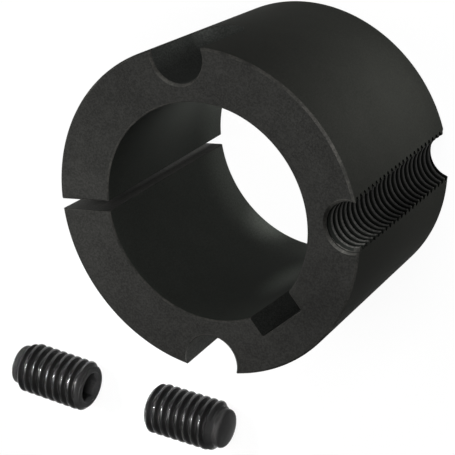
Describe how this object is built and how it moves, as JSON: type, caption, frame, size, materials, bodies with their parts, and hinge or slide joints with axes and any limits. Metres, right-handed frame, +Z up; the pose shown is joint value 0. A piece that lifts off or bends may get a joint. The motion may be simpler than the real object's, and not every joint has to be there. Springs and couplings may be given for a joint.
{
  "type": "taper bush",
  "caption": "Split taper bush with a keyed bore and half-holes for screws in its taper, with its short socket set screws lying beside it.",
  "frame": {"origin": "on the bore axis in the plane of the small end face, which the bush stands on", "axes": "+Z up the bore axis towards the large end, +X towards the threaded removal half-hole"},
  "size_m": [0.0947, 0.0876, 0.0381],
  "materials": {
    "bush_iron": "black phosphate over fine turned cast iron",
    "screw_steel": "black oxide, slightly glossy"
  },
  "bodies": {
    "root": {"bush_body": "bush_iron", "locking_screw_left": "screw_steel", "locking_screw_right": "screw_steel"}
  },
  "joints": []
}
